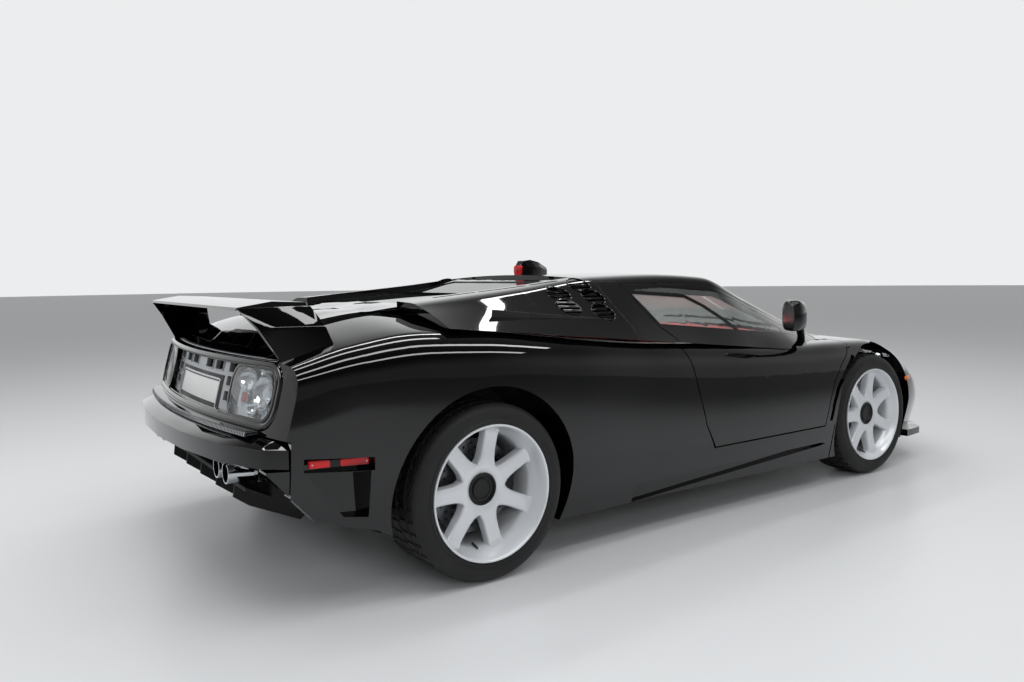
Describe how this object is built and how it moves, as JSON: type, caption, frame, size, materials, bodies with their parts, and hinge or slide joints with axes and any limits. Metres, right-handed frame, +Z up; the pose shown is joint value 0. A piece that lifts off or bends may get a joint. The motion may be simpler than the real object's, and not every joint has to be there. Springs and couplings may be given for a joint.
{
  "type": "supercar",
  "caption": "Low mid-engined two-seat sports car with scissor doors, a fixed rear wing, a tail lamp panel, opening front and engine lids and steered front wheels.",
  "frame": {"origin": "on the ground under the middle of the car's bounding box", "axes": "+X towards the nose, +Y towards the car's left side, +Z up"},
  "size_m": [4.4, 2.06, 1.188],
  "materials": {
    "paint": "gloss",
    "black_trim": "satin",
    "structure": "matte",
    "glass": "clear",
    "lamp_glass": "clear",
    "silver": "satin",
    "alloy": "gloss",
    "rubber": "matte",
    "steel": "satin",
    "plate_white": "satin",
    "leather": "satin"
  },
  "bodies": {
    "body": {"chassis": "structure", "cowl": "black_trim", "dashboard": "black_trim", "diffuser": "black_trim", "engine": "silver", "exhaust": "steel", "fender_left": "paint", "fender_right": "paint", "headlamps": "lamp_glass", "nose": "paint", "plate": "plate_white", "quarter_left": "paint", "quarter_right": "paint", "rear_bumper": "paint", "rear_deck": "paint", "rear_lamps": "lamp_glass", "rear_uprights": "steel", "roof": "paint", "seats": "leather", "side_panels": "paint", "skirts": "paint", "steering_wheel": "black_trim", "tail_moulding": "silver", "tail_panel": "silver", "windscreen": "glass", "wing": "paint"},
    "door_left": {"door_left": "paint", "door_glass_left": "glass", "mirror_left": "paint"},
    "door_right": {"door_right": "paint", "door_glass_right": "glass", "mirror_right": "paint"},
    "front_lid": {"front_lid": "paint"},
    "engine_lid": {"engine_lid": "paint", "engine_glass": "glass"},
    "upright_left": {"knuckle_front_left": "steel"},
    "upright_right": {"knuckle_front_right": "steel"},
    "wheel_fl": {"wheel_front_left": "alloy", "tyre_front_left": "rubber"},
    "wheel_fr": {"wheel_front_right": "alloy", "tyre_front_right": "rubber"},
    "wheel_rl": {"wheel_rear_left": "alloy", "tyre_rear_left": "rubber"},
    "wheel_rr": {"wheel_rear_right": "alloy", "tyre_rear_right": "rubber"}
  },
  "joints": [
    {"name": "steer_left", "type": "hinge", "parent": "body", "child": "upright_left", "pos_m": [1.28, 0.722, 0.3265], "axis": [0, 0, 1], "range_deg": [-30, 30]},
    {"name": "steer_right", "type": "hinge", "parent": "body", "child": "upright_right", "pos_m": [1.28, -0.722, 0.3265], "axis": [0, 0, 1], "range_deg": [-30, 30]},
    {"name": "spin_fl", "type": "hinge", "parent": "upright_left", "child": "wheel_fl", "pos_m": [1.28, 0.7825, 0.3265], "axis": [0, 1, 0], "continuous": true},
    {"name": "spin_fr", "type": "hinge", "parent": "upright_right", "child": "wheel_fr", "pos_m": [1.28, -0.7825, 0.3265], "axis": [0, 1, 0], "continuous": true},
    {"name": "spin_rl", "type": "hinge", "parent": "body", "child": "wheel_rl", "pos_m": [-1.27, 0.8015, 0.326], "axis": [0, 1, 0], "continuous": true},
    {"name": "spin_rr", "type": "hinge", "parent": "body", "child": "wheel_rr", "pos_m": [-1.27, -0.8015, 0.326], "axis": [0, 1, 0], "continuous": true},
    {"name": "door_left_hinge", "type": "hinge", "parent": "body", "child": "door_left", "pos_m": [1.062, 0.85, 0.724], "axis": [0, 0.9986, -0.0523], "range_deg": [0, 75]},
    {"name": "door_right_hinge", "type": "hinge", "parent": "body", "child": "door_right", "pos_m": [1.062, -0.85, 0.724], "axis": [0, 0.9986, 0.0523], "range_deg": [0, 75]},
    {"name": "front_lid_hinge", "type": "hinge", "parent": "body", "child": "front_lid", "pos_m": [1.024, 0, 0.749], "axis": [0, -1, 0], "range_deg": [0, 45]},
    {"name": "engine_lid_hinge", "type": "hinge", "parent": "body", "child": "engine_lid", "pos_m": [-0.516, 0, 1.086], "axis": [0, 1, 0], "range_deg": [0, 45]}
  ],
  "couplings": [
    {"joint": "steer_right", "follows": "steer_left", "ratio": 1}
  ]
}
